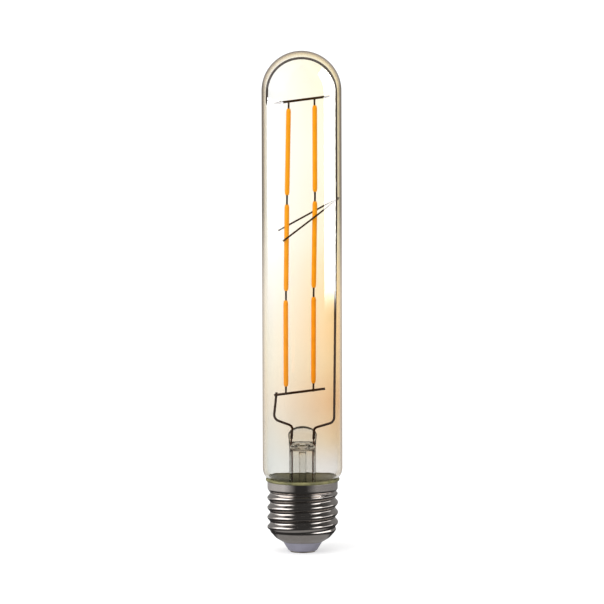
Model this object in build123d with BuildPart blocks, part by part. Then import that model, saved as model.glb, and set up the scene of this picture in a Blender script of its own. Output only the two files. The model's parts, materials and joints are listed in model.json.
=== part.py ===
from build123d import *
from math import acos, asin, atan, ceil, cos, degrees, radians, sin, tan
import os

os.makedirs("parts", exist_ok=True)

# All sizes are in millimetres. Z runs up the tube from the face of the centre contact, and the
# wire frame lies in the XZ plane.

# Glass tube
glass_diameter = 29.5
glass_wall = 0.8
neck_diameter = 22.4
seal_height = 16.3
neck_top = 23.4
shoulder_arc = 5.28257

# Screw cap, with the round thread of a 27 mm lamp base
thread_major_diameter = 26.2
thread_minor_diameter = 24.1
thread_pitch = 3.629
thread_crest_height = 7.463
thread_fade = 1.3
sheet_thickness = 0.3
collar_diameter = 26.0
cap_top = 26.4
collar_bottom = 23.4
collar_flank = 1.1
bowl_top = 7.7
bowl_bottom = 3.8
bowl_mouth_diameter = 14.7
bowl_belly = (10.0, 5.4)
cement_bead = 1.2
cement_overhang = 0.6
cement_depth = 5.5
cement_steps = 3

# Insulator and centre contact
contact_diameter = 9.2
contact_thickness = 0.5
contact_hole = 1.3
insulator_foot_diameter = 10.4
insulator_floor = 3.0
insulator_bore = 3.0

# Glass stem
stem_tube_diameter = 9.8
stem_wall = 0.7
flare_top = 27.0
flare_rim = 0.8
flare_steps = 3
press_bottom = 39.2
pinch_top = 41.0
press_widest = 43.4
press_top = 46.75
press_width = 10.6
press_depth = 4.2
pinch_bands = 5
crown_bands = 6
exhaust_diameter = 2.7
exhaust_wall = 0.6
exhaust_tip = 18.6
exhaust_vent = 2.5

# Wires
frame_wire_diameter = 0.9
copper_diameter = 0.5
neutral_diameter = 0.32
guard_diameter = 0.65
frame_lean = 1.05
lead_spread = 3.85
lead_joint = 42.0
lead_gap = 0.05
bar_tilt = 7.2
loop_rise = 2.61
frame_exit = (4.1, 46.0)
frame_shoulder_height = 48.2
left_exit = (-3.5, 46.75)
left_shoulder = (-10.6, 49.25)
left_head_x = -9.55
left_head_rise = 0.8
bottom_bar_ends = (-10.4, 8.4)
top_bar_end = 10.5
exit_radius = 2.1
shoulder_radius = 2.4
bend_radius = 1.2
corner_radius = 0.75
guard_reach = (-6.96, -8.7)
guard_drop = (15.8, 12.2)
guard_play = 0.045

# Filaments, three in line in each of two columns
filament_length = 32.0
filament_diameter = 1.75
filament_taper = 0.3
terminal_width = 0.7
terminal_thickness = 0.25
joint_gap = 3.55
weld_gap = 2.6
weld_tip = 0.55
left_column_x = (-4.70, -5.45, -5.92, -6.03)
right_column_x = (4.76, 4.85, 4.27, 4.08)
bottom_bar_height = 59.6

# Driver in the cap
board_width = 14.0
board_height = 10.2
board_thickness = 1.0
board_offset = 1.3
board_corner = 1.5
capacitor_diameter = 5.0
capacitor_length = 7.0
capacitor_height = 4.1
resistor_diameter = 2.2
resistor_length = 5.4
resistor_height = 1.8
resistor_lead = 0.5
resistor_stub = 1.6
hole_clearance = 0.1
solder_overlap = 2.0
lead_rise = 4.0
lead_set = 0.3

# Packages soldered to the board: centre across, centre above the floor, width, depth, height
packages = {
    "bridge_rectifier": (-4.2, 5.6, 4.6, 1.6, 3.8),
    "driver_chip": (4.3, 4.6, 3.9, 1.6, 4.9),
    "sense_resistor": (-4.0, 1.8, 2.0, 0.6, 1.3),
}

# Neutral wire, from the board to a drop of solder on the collar
neutral_turn = 135
neutral_start = (-5.6, 3.0)
neutral_run = 2.5
neutral_bend_height = 14.5
neutral_play = 0.05
drop_diameter = 2.7
drop_below_rim = 1.65
drop_rise = 0.8

# Values worked out from the sizes above
glass_radius = glass_diameter / 2
glass_inner_radius = glass_radius - glass_wall
neck_radius = neck_diameter / 2
major_radius = thread_major_diameter / 2
minor_radius = thread_minor_diameter / 2
collar_radius = collar_diameter / 2
bore_radius = minor_radius - sheet_thickness
wire_radius = frame_wire_diameter / 2
copper_radius = copper_diameter / 2
stem_radius = stem_tube_diameter / 2
frame_clearance = guard_diameter + 2 * guard_play
frame_x = glass_inner_radius - frame_clearance - wire_radius
column_length = 3 * filament_length + 2 * joint_gap + 2 * weld_gap
top_bar_height = bottom_bar_height + column_length
loop_centre = top_bar_height + loop_rise
dome_centre = loop_centre + frame_clearance
column_y = -(wire_radius + terminal_thickness / 2)
floor_top = bowl_bottom + insulator_floor
board_back = board_offset + board_thickness
board_top = floor_top + board_height
drop_height = cap_top - drop_below_rim


def save(part, name):
    """Label a finished piece and write it under its own name."""
    part.label = name
    export_step(part, f"parts/{name}.step")


def round_wire(points, radii, diameter):
    """A wire of round section along straight runs joined by tangent arcs."""
    with BuildPart() as wire:
        with BuildLine() as path:
            if len(points) > 2:
                FilletPolyline(*points, radius=radii)
            else:
                Line(*points)
        with BuildSketch(Plane(origin=path.wire() @ 0, z_dir=path.wire() % 0)):
            Circle(diameter / 2)
        sweep(path=path.wire())
    return wire.part


def bar_height(bar_middle, x):
    """Height of a tilted bar's axis at a distance x from the middle of the tube."""
    return bar_middle + x * tan(radians(bar_tilt))


# Glass envelope: the neck runs into the body by two equal tangent arcs, and the top is half a ball.
shoulder_turn = degrees(acos(1 - (glass_radius - neck_radius) / (2 * shoulder_arc)))
shoulder_top = neck_top + 2 * shoulder_arc * sin(radians(shoulder_turn))


def glass_outline(inset):
    """Closed half outline of the glass, moved in from its outer face by inset."""
    foot = Line((0, seal_height), (neck_radius - inset, seal_height))
    neck = Line(foot @ 1, (neck_radius - inset, neck_top))
    CenterArc((neck_radius + shoulder_arc, neck_top), shoulder_arc + inset, 180, -shoulder_turn)
    shoulder = CenterArc(
        (glass_radius - shoulder_arc, shoulder_top), shoulder_arc - inset, -shoulder_turn, shoulder_turn
    )
    body = Line(shoulder @ 1, (glass_radius - inset, dome_centre))
    dome = CenterArc((0, dome_centre), glass_radius - inset, 0, 90)
    Line(dome @ 1, foot @ 0)


with BuildPart() as glass_envelope:
    with BuildSketch(Plane.XZ):
        with BuildLine():
            glass_outline(0)
        make_face()
        with BuildLine():
            glass_outline(glass_wall)
        make_face(mode=Mode.SUBTRACT)
    revolve(axis=Axis.Z)
save(glass_envelope.part, "glass_envelope")


def inset_line(points, inset):
    """Corners of the line that runs beside another one, inset to its left."""
    corners = [Vector(*point) for point in points]
    normals = []
    for start, end in zip(corners, corners[1:]):
        normals.append((end - start).normalized().rotate(Axis.Z, 90))
    moved = []
    for corner, before, after in zip(corners, normals[:1] + normals, normals + normals[-1:]):
        middle = (before + after).normalized()
        moved.append(corner + middle * (inset / middle.dot(before)))
    return moved


# Screw cap: crest and root of the round thread are equal arcs that meet on the flank, each drawn
# as a flat and two chords.
flank_turn = 2 * atan(2 * (major_radius - minor_radius) / thread_pitch)
arc_radius = thread_pitch / (4 * sin(flank_turn))
flat_half = arc_radius * sin(flank_turn / 3)
foot_depth = 0.25
bowl_mouth = bowl_mouth_diameter / 2
flank_bottom = collar_bottom - collar_flank
shell_outline = [
    (bowl_mouth, bowl_bottom),
    bowl_belly,
    (minor_radius, bowl_top),
    (minor_radius, flank_bottom),
    (collar_radius, collar_bottom),
    (collar_radius, cap_top),
]
shell_inside = inset_line(shell_outline, sheet_thickness)

with BuildPart() as thread_limits:
    with BuildSketch(Plane.XZ):
        with BuildLine():
            skirt = inset_line(shell_outline, foot_depth / 2)[:3]
            fade_top = bowl_top + thread_fade
            below = bowl_bottom - thread_pitch
            outside = major_radius + 1
            Polyline(
                *skirt,
                (major_radius + foot_depth, fade_top),
                (outside, fade_top),
                (outside, below),
                (bowl_mouth, below),
                close=True,
            )
        make_face()
        with BuildLine():
            under_collar = collar_radius - sheet_thickness / 3
            above = cap_top + 2 * thread_pitch
            Polyline(
                (outside, flank_bottom - collar_flank),
                (major_radius + foot_depth, flank_bottom - collar_flank),
                (under_collar, flank_bottom + collar_flank / 3),
                (under_collar, cap_top - 1),
                (bowl_mouth, cap_top - 1),
                (bowl_mouth, above),
                (outside, above),
                close=True,
            )
        make_face()
    revolve(axis=Axis.Z)


def thread_turn(height):
    """One full turn of the raised thread, with its feet sunk a little into the root."""
    with BuildPart() as turn:
        with BuildLine() as path:
            Helix(thread_pitch, thread_pitch, minor_radius, center=(0, 0, height))
        with BuildSketch(Plane(origin=(0, 0, height), x_dir=(1, 0, 0), z_dir=(0, -1, 0))):
            with BuildLine():
                crest = (major_radius, flat_half)
                root = (minor_radius, thread_pitch / 2 - flat_half)
                middle = ((major_radius + minor_radius) / 2, thread_pitch / 4)
                slope = (root[1] - middle[1]) / (middle[0] - root[0])
                foot = (root[0] - foot_depth, root[1] + slope * foot_depth)
                upper = Polyline(foot, middle, crest)
                mirror(upper, about=Plane.XZ)
                Line(crest, (crest[0], -crest[1]))
                Line(foot, (foot[0], -foot[1]))
            make_face()
        sweep(path=path.wire(), is_frenet=True)
        add(thread_limits.part, mode=Mode.SUBTRACT)
    return turn.part


turns = ceil((cap_top - thread_crest_height) / thread_pitch)
with BuildPart() as cap_shell:
    with BuildSketch(Plane.XZ):
        with BuildLine():
            Polyline(*shell_outline, (0, cap_top), (0, bowl_bottom), close=True)
        make_face()
    revolve(axis=Axis.Z)
    for turn_number in range(-1, turns):
        add(thread_turn(thread_crest_height + turn_number * thread_pitch))
    with BuildSketch(Plane.XZ):
        with BuildLine():
            mouth = shell_inside[0]
            Polyline(*shell_inside, (0, cap_top), (0, bowl_bottom), shell_outline[0], close=True)
        make_face()
    revolve(axis=Axis.Z, mode=Mode.SUBTRACT)
save(cap_shell.part, "cap_shell")

# Insulator: a moulded cone between shell and contact, with its floor inside the bowl.
with BuildPart() as insulator:
    with BuildSketch(Plane.XZ):
        with BuildLine():
            Polyline(*shell_inside[:4], (0, shell_inside[3].Y), (0, mouth.Y), close=True)
        make_face()
        with Locations((0, floor_top)):
            Rectangle(2 * major_radius, cap_top, align=(Align.CENTER, Align.MIN), mode=Mode.SUBTRACT)
        with BuildLine():
            Polyline(
                (0, contact_thickness),
                (insulator_foot_diameter / 2, contact_thickness),
                (bowl_mouth, bowl_bottom),
                mouth,
                (0, mouth.Y),
                close=True,
            )
        make_face()
        Rectangle(insulator_bore, cap_top, mode=Mode.SUBTRACT)
    revolve(axis=Axis.Z)
save(insulator.part, "insulator")

with BuildPart() as centre_contact:
    Cylinder(contact_diameter / 2, contact_thickness, align=(Align.CENTER, Align.CENTER, Align.MIN))
    chamfer(centre_contact.edges().group_by(Axis.Z)[0], contact_thickness / 2)
    Hole(contact_hole / 2)
save(centre_contact.part, "centre_contact")

# Neutral wire: from the board up the gap between neck and shell, and over the rim of the collar.
neutral_radius = neutral_diameter / 2


def neutral_point(radius, height):
    """A point of the radial plane in which the wire climbs."""
    return Vector(radius, 0, height).rotate(Axis.Z, neutral_turn)


def neutral_path():
    """The wire's corners, from the board to the drop of solder."""
    gap_middle = (neck_radius + bore_radius) / 2
    under_rim = collar_radius - sheet_thickness - neutral_radius - neutral_play
    beside_collar = collar_radius + neutral_radius + neutral_play
    over_rim = cap_top + neutral_radius + neutral_play
    across, above_floor = neutral_start
    on_board = board_back + neutral_radius
    return [
        (across, on_board, floor_top + above_floor),
        (across, on_board, floor_top + above_floor + neutral_run),
        neutral_point(gap_middle, neutral_bend_height),
        neutral_point(gap_middle, flank_bottom + neutral_radius),
        neutral_point(under_rim, collar_bottom + collar_flank),
        neutral_point(under_rim, over_rim),
        neutral_point(beside_collar, over_rim),
        neutral_point(beside_collar, drop_height),
    ]


rim_bend = (sheet_thickness + neutral_diameter + 2 * neutral_play) * 0.45
neutral_wire = round_wire(
    neutral_path(),
    [neutral_diameter, neutral_diameter, bend_radius, bend_radius, rim_bend, rim_bend],
    neutral_diameter,
)
save(neutral_wire, "neutral_wire")

drop_radius = drop_diameter / 2
with BuildPart() as side_solder:
    with Locations(neutral_point(collar_radius + drop_rise - drop_radius, drop_height)):
        Sphere(drop_radius)
    with Locations((0, 0, collar_bottom - drop_diameter)):
        Cylinder(
            collar_radius,
            cap_top,
            align=(Align.CENTER, Align.CENTER, Align.MIN),
            mode=Mode.SUBTRACT,
        )
    add(neutral_wire, mode=Mode.SUBTRACT)
save(side_solder.part, "side_solder")

# Cement: fills the collar round the glass and stands over its rim as a rounded bead.
bead_top = cap_top + cement_bead
bead_radius = collar_radius + cement_overhang


def glass_side():
    """Corners of the cement's face against the glass, from its top down the shoulder to the neck."""
    corners = []
    for step in range(cement_steps, -1, -1):
        height = neck_top + (bead_top - neck_top) * step / cement_steps
        flank = (shoulder_arc**2 - (height - neck_top) ** 2) ** 0.5
        corners.append((neck_radius + shoulder_arc - flank, height))
    return corners


with BuildPart() as cement:
    with BuildSketch(Plane.XZ):
        with BuildLine():
            Polyline(
                *glass_side(),
                (neck_radius, cap_top - cement_depth),
                (bore_radius, cap_top - cement_depth),
                *shell_inside[3:],
                (collar_radius, cap_top),
                (bead_radius, cap_top + cement_overhang),
                (bead_radius, bead_top - cement_overhang / 2),
                (bead_radius - cement_overhang / 2, bead_top),
                close=True,
            )
        make_face()
    revolve(axis=Axis.Z)
    add(neutral_wire, mode=Mode.SUBTRACT)
save(cement.part, "cement")

# Wires of the mount, bent in the plane of the bars. The left lead ends behind the bottom bar.
guard_height = top_bar_height - weld_gap - filament_length - joint_gap / 2
loop_top = loop_centre + frame_x
loop_radius = frame_x - 0.1
frame_wire = round_wire(
    [
        (lead_spread, 0, lead_joint),
        (frame_exit[0], 0, frame_exit[1]),
        (frame_x - frame_lean, 0, frame_shoulder_height),
        (frame_x, 0, guard_height),
        (frame_x, 0, loop_top),
        (-frame_x, 0, loop_top),
        (-frame_x, 0, bar_height(top_bar_height, -frame_x)),
        (top_bar_end, 0, bar_height(top_bar_height, top_bar_end)),
    ],
    [exit_radius, shoulder_radius, 10 * shoulder_radius, loop_radius, loop_radius, corner_radius],
    frame_wire_diameter,
)
save(frame_wire, "frame_wire")

behind_bar = frame_wire_diameter
left_lead = round_wire(
    [
        (-lead_spread, 0, lead_joint),
        (left_exit[0], 0, left_exit[1]),
        (left_shoulder[0], behind_bar, left_shoulder[1]),
        (left_head_x, behind_bar, bar_height(bottom_bar_height, left_head_x) + left_head_rise),
    ],
    [exit_radius, shoulder_radius],
    frame_wire_diameter,
)
save(left_lead, "left_lead")

bottom_bar = round_wire(
    [(x, 0, bar_height(bottom_bar_height, x)) for x in bottom_bar_ends], [], frame_wire_diameter
)
save(bottom_bar, "bottom_bar")

# Lower leads: thin wires that run from inside the press down to the board.
lead_foot_x = lead_spread + lead_set
lower_leads = []
for side, way in (("left", -1), ("right", 1)):
    lower_lead = round_wire(
        [
            (way * lead_spread, 0, lead_joint - lead_gap),
            (way * lead_spread, 0, board_top + lead_rise),
            (way * lead_foot_x, board_offset - copper_radius, board_top + copper_radius),
            (way * lead_foot_x, board_offset - copper_radius, board_top - solder_overlap),
        ],
        [bend_radius, bend_radius],
        copper_diameter,
    )
    lower_leads.append(lower_lead)
    save(lower_lead, f"lower_lead_{side}")

# Guard wire: a hairpin hooked round the frame wire, one leg before and one behind the columns.
guard_radius = guard_diameter / 2
hook_x = frame_x + wire_radius + guard_radius + guard_play
hook_y = wire_radius + guard_radius + guard_play
filament_radius = filament_diameter / 2
front_y = column_y - filament_radius - guard_radius - guard_play
back_y = max(hook_y, column_y + filament_radius + guard_radius + guard_play)
front_slope = guard_drop[0] / (hook_x - guard_reach[0])
front_knee = max(right_column_x) + filament_radius
guard_wire = round_wire(
    [
        (guard_reach[0], front_y, guard_height - guard_drop[0]),
        (front_knee, front_y, guard_height - front_slope * (hook_x - front_knee)),
        (hook_x, -hook_y, guard_height),
        (hook_x, back_y, guard_height),
        (guard_reach[1], back_y, guard_height - guard_drop[1]),
    ],
    [2 * bend_radius, hook_y - guard_play, hook_y - guard_play],
    guard_diameter,
)
save(guard_wire, "guard_wire")

# Filaments: three rods in line in each column, each with a flat terminal at both ends. Terminals
# of neighbours lie back to back where they are welded, and the end ones lie on the bars.


def terminal(foot, direction, length, lift):
    """A flat strip that starts at a rod's end and runs along its axis."""
    with BuildPart() as strip:
        with BuildSketch(Plane(origin=foot + Vector(0, lift, 0), x_dir=(0, 1, 0), z_dir=direction)):
            Rectangle(terminal_thickness, terminal_width)
        extrude(amount=length)
    return strip.part


def filament_column(side, stations):
    """Rods and terminals between the stations, from the top bar down to the bottom bar."""
    last = len(stations) - 2
    for number, (upper, lower) in enumerate(zip(stations, stations[1:])):
        axis = (lower - upper).normalized()
        top_gap = weld_gap if number == 0 else joint_gap / 2
        rod_top = upper + axis * top_gap
        rod_bottom = rod_top + axis * filament_length
        name = f"filament_{side}_{number + 1}"
        with BuildPart() as rod:
            with BuildSketch(Plane(origin=rod_top, x_dir=(0, 1, 0), z_dir=axis)):
                Circle(filament_radius)
            extrude(amount=filament_length)
            chamfer(rod.edges().filter_by(GeomType.CIRCLE), filament_taper)
        save(rod.part, name)
        weld_reach = weld_gap + weld_tip
        joint_reach = joint_gap - terminal_thickness
        top_lift = 0 if number == 0 else -terminal_thickness / 2
        bottom_lift = 0 if number == last else terminal_thickness / 2
        top_reach = weld_reach if number == 0 else joint_reach
        bottom_reach = weld_reach if number == last else joint_reach
        save(terminal(rod_top, -axis, top_reach, top_lift), f"{name}_top_terminal")
        save(terminal(rod_bottom, axis, bottom_reach, bottom_lift), f"{name}_bottom_terminal")


for side, column_x in (("left", left_column_x), ("right", right_column_x)):
    drops = [0, weld_gap + filament_length + joint_gap / 2]
    drops += [drops[1] + filament_length + joint_gap, column_length]
    filament_column(
        side,
        [
            Vector(x, column_y, bar_height(top_bar_height, column_x[0]) - drop)
            for x, drop in zip(column_x, drops)
        ],
    )

# Stem: the tube flares out to the neck seal below, and is pinched flat round the leads above.
rim_radius = neck_radius - glass_wall
flare_reach = rim_radius - stem_radius
flare_drop = flare_top - seal_height
flare_radius = (flare_reach**2 + flare_drop**2) / (2 * flare_reach)
flare_turn = asin(flare_drop / flare_radius)
tube_radius = exhaust_diameter / 2
tube_bore = tube_radius - exhaust_wall
press_floor = press_bottom - stem_wall


def flare_outline():
    """Corners of the stem's outer line, from the rim up the flare and the tube to the press."""
    corners = []
    for step in range(flare_steps, -1, -1):
        turn = flare_turn * step / flare_steps
        corners.append(
            (stem_radius + flare_radius * (1 - cos(turn)), flare_top - flare_radius * sin(turn))
        )
    return [*corners, (stem_radius, press_bottom)]


def press_sections():
    """Height, half width and half depth of the ellipses that the press runs through."""
    sections = []
    widening = (press_width / 2 - stem_radius) / (press_widest - press_bottom)
    for band in range(pinch_bands + 1):
        share = band / pinch_bands
        pinch = share**2 * (3 - 2 * share)
        height = press_bottom + (pinch_top - press_bottom) * share
        half_width = stem_radius + widening * (height - press_bottom)
        half_depth = stem_radius + (press_depth / 2 - stem_radius) * pinch
        sections.append((height, half_width, half_depth))
    for band in range(crown_bands):
        turn = radians(90 * band / crown_bands)
        height = press_widest + (press_top - press_widest) * sin(turn)
        sections.append((height, press_width / 2 * cos(turn), press_depth / 2 * cos(turn)))
    return sections


with BuildPart() as stem:
    with BuildSketch(Plane.XZ):
        with BuildLine():
            outer = flare_outline()
            inner = inset_line(outer, stem_wall)[:-1]
            floor = seal_height - flare_rim
            Polyline(
                *outer,
                (0, press_bottom),
                (0, press_floor),
                (stem_radius - stem_wall, press_floor),
                *reversed(inner[1:]),
                (inner[0].X, floor),
                (neck_radius, floor),
                (neck_radius, seal_height),
                close=True,
            )
        make_face()
    revolve(axis=Axis.Z)
    for height, half_width, half_depth in press_sections():
        with BuildSketch(Plane.XY.offset(height)):
            Ellipse(half_width, half_depth)
    loft(ruled=True)
    with BuildSketch(Plane.XY.offset(press_floor)):
        Circle(tube_bore)
    extrude(amount=stem_wall + exhaust_vent, mode=Mode.SUBTRACT)
    with BuildSketch(Plane.XZ):
        with Locations((0, press_bottom + exhaust_vent)):
            Circle(tube_bore)
    extrude(amount=-stem_tube_diameter, mode=Mode.SUBTRACT)
    for wire in [frame_wire, left_lead, *lower_leads]:
        add(wire, mode=Mode.SUBTRACT)
save(stem.part, "stem")

# Exhaust tube: hangs from the press inside the stem, and is tipped off above the driver.
with BuildPart() as exhaust_tube:
    with BuildSketch(Plane.XZ):
        with BuildLine():
            Polyline(
                (tube_bore, press_floor),
                (tube_radius, press_floor),
                (tube_radius, exhaust_tip + exhaust_diameter),
                (0, exhaust_tip),
                (0, exhaust_tip + exhaust_diameter),
                (tube_bore, exhaust_tip + exhaust_diameter + exhaust_wall),
                close=True,
            )
        make_face()
    revolve(axis=Axis.Z)
save(exhaust_tube.part, "exhaust_tube")

# Driver: the board stands on the insulator, behind the resistor that feeds it.
resistor_hole = resistor_lead / 2 + hole_clearance
resistor_bottom = floor_top + resistor_height
resistor_top = resistor_bottom + resistor_length
feed_height = resistor_top + resistor_stub

with BuildPart() as driver_board:
    with Locations((0, board_offset, floor_top)):
        Box(board_width, board_thickness, board_height, align=(Align.CENTER, Align.MIN, Align.MIN))
    with BuildSketch(Plane.XZ.offset(-board_back)):
        with Locations((0, feed_height)):
            Circle(resistor_hole)
    extrude(amount=board_thickness, mode=Mode.SUBTRACT)
    chamfer(driver_board.edges().filter_by(Axis.Y).group_by(Axis.Z)[-1], board_corner)
save(driver_board.part, "driver_board")

with BuildPart() as fusible_resistor:
    with BuildSketch(Plane.XY.offset(resistor_bottom)):
        Circle(resistor_diameter / 2)
    extrude(amount=resistor_length)
    chamfer(fusible_resistor.edges().filter_by(GeomType.CIRCLE), resistor_diameter / 8)
    with BuildSketch(Plane.XY.offset(contact_thickness / 2)):
        Circle(resistor_lead / 2)
    extrude(amount=resistor_bottom - contact_thickness / 2)
    add(
        round_wire(
            [
                (0, 0, resistor_top),
                (0, 0, feed_height),
                (0, board_back + resistor_lead, feed_height),
            ],
            [resistor_stub / 2],
            resistor_lead,
        )
    )
save(fusible_resistor.part, "fusible_resistor")

with BuildPart() as contact_solder:
    Cylinder(contact_hole / 2, contact_thickness, align=(Align.CENTER, Align.CENTER, Align.MIN))
    add(fusible_resistor.part, mode=Mode.SUBTRACT)
save(contact_solder.part, "contact_solder")

for name, (across, above_floor, width, depth, height) in packages.items():
    with BuildPart() as package:
        with Locations((across, board_offset, floor_top + above_floor)):
            Box(width, depth, height, align=(Align.CENTER, Align.MAX, Align.CENTER))
        chamfer(package.faces().sort_by(Axis.Y)[0].edges(), depth / 8)
    save(package.part, name)

capacitor_radius = capacitor_diameter / 2
capacitor_plane = Plane(
    origin=(-capacitor_length / 2, board_back + capacitor_radius, floor_top + capacitor_height),
    z_dir=(1, 0, 0),
)
with BuildPart() as smoothing_capacitor:
    with BuildSketch(capacitor_plane):
        Circle(capacitor_radius)
    extrude(amount=capacitor_length)
    chamfer(smoothing_capacitor.edges().filter_by(GeomType.CIRCLE), capacitor_radius / 8)
save(smoothing_capacitor.part, "smoothing_capacitor")
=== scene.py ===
# %% [markdown]
# # A tubular filament bulb
# The bulb is a glass tube as wide as a thumb and as long as a hand, with a round top and a screw
# cap. Six short orange rods glow inside it when it is lit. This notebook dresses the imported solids:
# it keeps them as the frame, and adds the glass, the metal and the light that make them look real.

# %% Frame
import json
import math
import bmesh
import bpy
import numpy as np
from mathutils import Matrix, Vector, noise

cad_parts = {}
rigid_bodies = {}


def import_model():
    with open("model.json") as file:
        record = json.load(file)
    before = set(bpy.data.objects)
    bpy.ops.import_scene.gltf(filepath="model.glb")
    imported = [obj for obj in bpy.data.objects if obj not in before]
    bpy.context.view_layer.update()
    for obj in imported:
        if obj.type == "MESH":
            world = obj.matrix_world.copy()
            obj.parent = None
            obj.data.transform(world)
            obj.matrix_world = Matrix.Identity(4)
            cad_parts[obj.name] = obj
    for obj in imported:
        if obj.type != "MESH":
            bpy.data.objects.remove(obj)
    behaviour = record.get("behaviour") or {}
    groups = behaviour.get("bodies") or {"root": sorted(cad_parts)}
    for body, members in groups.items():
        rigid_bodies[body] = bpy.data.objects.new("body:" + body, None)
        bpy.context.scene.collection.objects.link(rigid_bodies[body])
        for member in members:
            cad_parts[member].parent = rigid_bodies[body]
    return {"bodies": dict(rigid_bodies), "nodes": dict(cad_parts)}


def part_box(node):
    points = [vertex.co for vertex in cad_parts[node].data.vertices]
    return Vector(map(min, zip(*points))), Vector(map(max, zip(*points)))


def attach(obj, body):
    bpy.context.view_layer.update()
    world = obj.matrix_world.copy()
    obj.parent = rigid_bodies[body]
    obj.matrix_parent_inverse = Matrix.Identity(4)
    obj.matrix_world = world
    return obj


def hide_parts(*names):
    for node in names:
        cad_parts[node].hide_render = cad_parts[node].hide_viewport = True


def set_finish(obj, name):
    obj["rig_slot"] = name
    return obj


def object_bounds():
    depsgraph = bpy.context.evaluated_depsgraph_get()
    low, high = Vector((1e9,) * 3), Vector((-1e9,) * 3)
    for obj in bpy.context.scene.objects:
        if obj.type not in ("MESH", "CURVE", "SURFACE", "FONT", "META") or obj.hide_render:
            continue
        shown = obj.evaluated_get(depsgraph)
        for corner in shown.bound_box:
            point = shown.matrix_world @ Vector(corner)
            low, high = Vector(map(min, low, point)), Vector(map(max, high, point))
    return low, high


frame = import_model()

MM = 0.001
FULL_TURN = 2 * math.pi
cad_low, cad_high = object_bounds()
body = sorted(frame["bodies"])[0]
cad_height = round((cad_high[2] - cad_low[2]) / MM, 2)
print("body:", body, "nodes:", len(frame["nodes"]), "height in mm:", cad_height)

# %% [markdown]
# ## Camera
# The photograph was taken from far away, so that the tube is as wide at its top as at its foot. A
# long lens six metres off does the same. It looks down by about seven degrees, which opens the rim
# of the cap into a slim ellipse. The lens follows from how wide a view of the bulb's plane is wanted.

# %% Camera
distance = 6.0
view_pixels, pixels_per_mm = 604, 2.713
view_width = view_pixels / pixels_per_mm * MM
elevation = math.radians(7.3)
lean = math.radians(-0.166)
aim = Vector((-0.00003, 0, 0.09287))
film_width = 36
camera_data = bpy.data.cameras.new("camera")
camera_data.sensor_width = film_width
camera_data.lens = film_width * distance / view_width
camera_data.clip_end = 100
camera = bpy.data.objects.new("camera", camera_data)
bpy.context.scene.collection.objects.link(camera)
camera.location = aim + distance * Vector((0, -math.cos(elevation), math.sin(elevation)))
turned = Matrix.Rotation(math.pi / 2 - elevation, 3, "X") @ Matrix.Rotation(lean, 3, "Z")
camera.rotation_euler = turned.to_euler()
bpy.context.scene.camera = camera
print("lens in mm:", round(camera_data.lens), "view width in mm:", round(view_width / MM, 1))

# %% [markdown]
# ## Lathe work
# Glass, cement, insulator and contact are all round. Each is an outline that is turned about the
# tube's axis. The outline is a closed line of (radius, height) points, in millimetres. A point on
# the axis becomes one pole, and every other point becomes a ring.

# %% Lathe: turning
on_axis = 1e-6


def add_piece(name, mesh, material_slot):
    """A smooth object at the origin that rides on the bulb and takes its finish from a slot."""
    piece = bpy.data.objects.new(name, mesh)
    bpy.context.scene.collection.objects.link(piece)
    mesh.polygons.foreach_set("use_smooth", [True] * len(mesh.polygons))
    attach(piece, body)
    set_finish(piece, material_slot)
    print(name, "faces:", len(mesh.polygons))
    return piece


def rings_to_mesh(name, rings, segments):
    """Joins rings, each a list of points or a single pole, into a closed surface facing outwards."""
    points, starts = [], []
    for ring in rings:
        starts.append(len(points))
        points.extend(ring)
    faces = []
    for lower in range(len(rings)):
        upper = (lower + 1) % len(rings)
        low_pole, high_pole = len(rings[lower]) == 1, len(rings[upper]) == 1
        if low_pole and high_pole:
            continue
        for step in range(segments):
            after = (step + 1) % segments
            a = starts[lower] + (0 if low_pole else step)
            b = starts[lower] + (0 if low_pole else after)
            c = starts[upper] + (0 if high_pole else after)
            d = starts[upper] + (0 if high_pole else step)
            if low_pole:
                faces.append((a, c, d))
            elif high_pole:
                faces.append((a, b, c))
            else:
                faces.append((a, b, c, d))
    mesh = bpy.data.meshes.new(name)
    mesh.from_pydata([tuple(point) for point in points], [], faces)
    mesh.validate()
    return mesh


def lathe(name, outline, segments, shape=None):
    """Turns a closed outline about the axis. A third number in a point is its half depth, between
    half width and height. shape may bend each point."""
    turns = np.linspace(0, FULL_TURN, segments, endpoint=False)
    rings = []
    for entry in outline:
        wide, height = entry[0], entry[-1]
        deep = entry[1] if len(entry) == 3 else wide
        if wide < on_axis:
            rings.append([(0, 0, height * MM)])
            continue
        ring = [(wide * math.cos(t), deep * math.sin(t), height) for t in turns]
        if shape:
            ring = [shape(*point) for point in ring]
        rings.append([(x * MM, y * MM, z * MM) for x, y, z in ring])
    return rings_to_mesh(name, rings, segments)


# %% Lathe: lines for the outlines
def arc(centre, radius, start, end, steps):
    """Points of an arc in the plane of an outline, in degrees."""
    turns = np.radians(np.linspace(start, end, steps))
    return [(centre[0] + radius * math.cos(t), centre[1] + radius * math.sin(t)) for t in turns]


def rounded(corners, radius, steps=5):
    """An open outline whose inner corners are rounded with one radius, or less on short runs."""
    points = [Vector(corner) for corner in corners]
    made = [tuple(points[0])]
    for before, corner, after in zip(points, points[1:], points[2:]):
        to_before, to_after = before - corner, after - corner
        reach = min(radius, to_before.length / 2, to_after.length / 2)
        start = corner + to_before.normalized() * reach
        end = corner + to_after.normalized() * reach
        for step in range(steps + 1):
            share = step / steps
            bend = start * (1 - share) ** 2 + corner * 2 * share * (1 - share) + end * share**2
            made.append(tuple(bend))
    made.append(tuple(points[-1]))
    return made


# %% [markdown]
# ## Glass tube
# The tube is blown from one piece of thin glass: a neck that is sealed to the stem, a soft
# shoulder, a straight body and half a ball on top. The outline runs up the outer face and comes
# back down the inner one, so that light bends at both, as it does in the real wall.

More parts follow.
